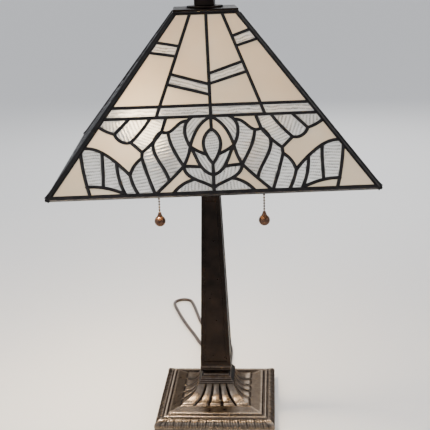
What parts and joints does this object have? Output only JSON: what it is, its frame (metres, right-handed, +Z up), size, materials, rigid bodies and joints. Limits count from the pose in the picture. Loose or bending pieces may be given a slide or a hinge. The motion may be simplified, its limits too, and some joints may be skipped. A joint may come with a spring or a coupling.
{
  "type": "table lamp",
  "caption": "Table lamp with a square leaded glass shade of cream and clear pieces, twin pull-chain sockets, a tapered panelled column and a gadrooned square base",
  "frame": {"origin": "centre of the base, on the surface that the lamp stands on", "axes": "+Z up the column, -Y the front, X along the line of the two sockets; the cord leaves the back, +Y"},
  "size_m": [0.4474, 0.6499, 0.6652],
  "materials": {
    "cream_glass": "opalescent cream sheet glass, faint warm streaks, lightly rippled",
    "clear_glass": "clear rippled glass, fine ribs",
    "lead_solder": "blackened solder, low sheen, slightly uneven",
    "dark_bronze": "dark bronze lacquer, worn to warm copper on raised edges",
    "base_bronze": "dark bronze patina over cast metal, rubbed to a pewter sheen on the high spots",
    "old_brass": "aged brass, dulled",
    "copper_bronze": "coppery bronze, satin",
    "plated_brass": "bright nickelled brass screw shell",
    "zinc_steel": "zinc plated steel",
    "iron": "rough grey iron",
    "felt": "dark green felt",
    "phenolic": "black moulded plastic",
    "bulb_glass": "frosted bulb glass",
    "cord_plastic": "dark brown cord plastic"
  },
  "bodies": {
    "stand": {"arm_wires": "cord_plastic", "base_bottom_plate": "zinc_steel", "base_casting": "base_bronze", "base_plate_screws": "zinc_steel", "base_weight": "iron", "chain_outlets": "old_brass", "cluster_body": "old_brass", "cluster_cover": "old_brass", "column": "dark_bronze", "column_cap": "dark_bronze", "column_foot": "dark_bronze", "cord_bushing": "phenolic", "cord_hank": "cord_plastic", "felt_pad": "felt", "hank_tie": "cord_plastic", "inner_cord": "cord_plastic", "pipe_nut": "zinc_steel", "pipe_washer": "zinc_steel", "plug_blades": "zinc_steel", "plug_body": "cord_plastic", "riser_rod": "zinc_steel", "seat_nut": "zinc_steel", "socket_arms": "old_brass", "socket_caps": "old_brass", "socket_cores": "phenolic", "socket_screw_sleeves": "plated_brass", "socket_shells": "old_brass", "supply_cord": "cord_plastic", "threaded_pipe": "zinc_steel"},
    "shade": {"shade_back_clear_glass": "clear_glass", "shade_back_cream_glass": "cream_glass", "shade_back_leads": "lead_solder", "shade_cap": "dark_bronze", "shade_front_clear_glass": "clear_glass", "shade_front_cream_glass": "cream_glass", "shade_front_leads": "lead_solder", "shade_hip_seams": "lead_solder", "shade_left_clear_glass": "clear_glass", "shade_left_cream_glass": "cream_glass", "shade_left_leads": "lead_solder", "shade_right_clear_glass": "clear_glass", "shade_right_cream_glass": "cream_glass", "shade_right_leads": "lead_solder", "shade_rims": "lead_solder"},
    "ring": {"check_ring": "dark_bronze"},
    "finial": {"finial": "dark_bronze"},
    "left_bulb": {"left_bulb_glass": "bulb_glass", "left_bulb_base": "plated_brass", "left_bulb_stem": "bulb_glass"},
    "left_pull": {"left_switch_link": "old_brass"},
    "left_chain": {"left_pull_chain": "old_brass", "left_pull_bell": "copper_bronze", "left_pull_ball": "copper_bronze"},
    "right_bulb": {"right_bulb_glass": "bulb_glass", "right_bulb_base": "plated_brass", "right_bulb_stem": "bulb_glass"},
    "right_pull": {"right_switch_link": "old_brass"},
    "right_chain": {"right_pull_chain": "old_brass", "right_pull_bell": "copper_bronze", "right_pull_ball": "copper_bronze"}
  },
  "joints": [
    {"name": "shade_turn", "type": "hinge", "parent": "stand", "child": "shade", "pos_m": [0, 0, 0.608], "axis": [0, 0, 1], "continuous": true},
    {"name": "finial_turn", "type": "hinge", "parent": "ring", "child": "finial", "pos_m": [0, 0, 0.613], "axis": [0, 0, 1], "range_deg": [0, 1080]},
    {"name": "finial_lift", "type": "slide", "parent": "stand", "child": "ring", "axis": [0, 0, 1], "range_m": [0, 0.0028]},
    {"name": "left_bulb_turn", "type": "hinge", "parent": "stand", "child": "left_bulb", "pos_m": [-0.048, 0, 0.369], "axis": [-0.5, 0, 0.866], "range_deg": [0, 900]},
    {"name": "left_pull", "type": "slide", "parent": "stand", "child": "left_pull", "axis": [0, 0, -1], "range_m": [0, 0.009], "stiffness_N_per_m": 450, "springref_m": -0.002},
    {"name": "left_chain_swing", "type": "hinge", "parent": "left_pull", "child": "left_chain", "pos_m": [-0.077, 0, 0.35], "axis": [0, 1, 0], "range_deg": [-20, 20]},
    {"name": "right_bulb_turn", "type": "hinge", "parent": "stand", "child": "right_bulb", "pos_m": [0.048, 0, 0.369], "axis": [0.5, 0, 0.866], "range_deg": [0, 900]},
    {"name": "right_pull", "type": "slide", "parent": "stand", "child": "right_pull", "axis": [0, 0, -1], "range_m": [0, 0.009], "stiffness_N_per_m": 450, "springref_m": -0.002},
    {"name": "right_chain_swing", "type": "hinge", "parent": "right_pull", "child": "right_chain", "pos_m": [0.077, 0, 0.35], "axis": [0, 1, 0], "range_deg": [-20, 20]}
  ],
  "couplings": [
    {"joint": "finial_turn", "follows": "finial_lift", "rad_per_m": 6679.1}
  ]
}
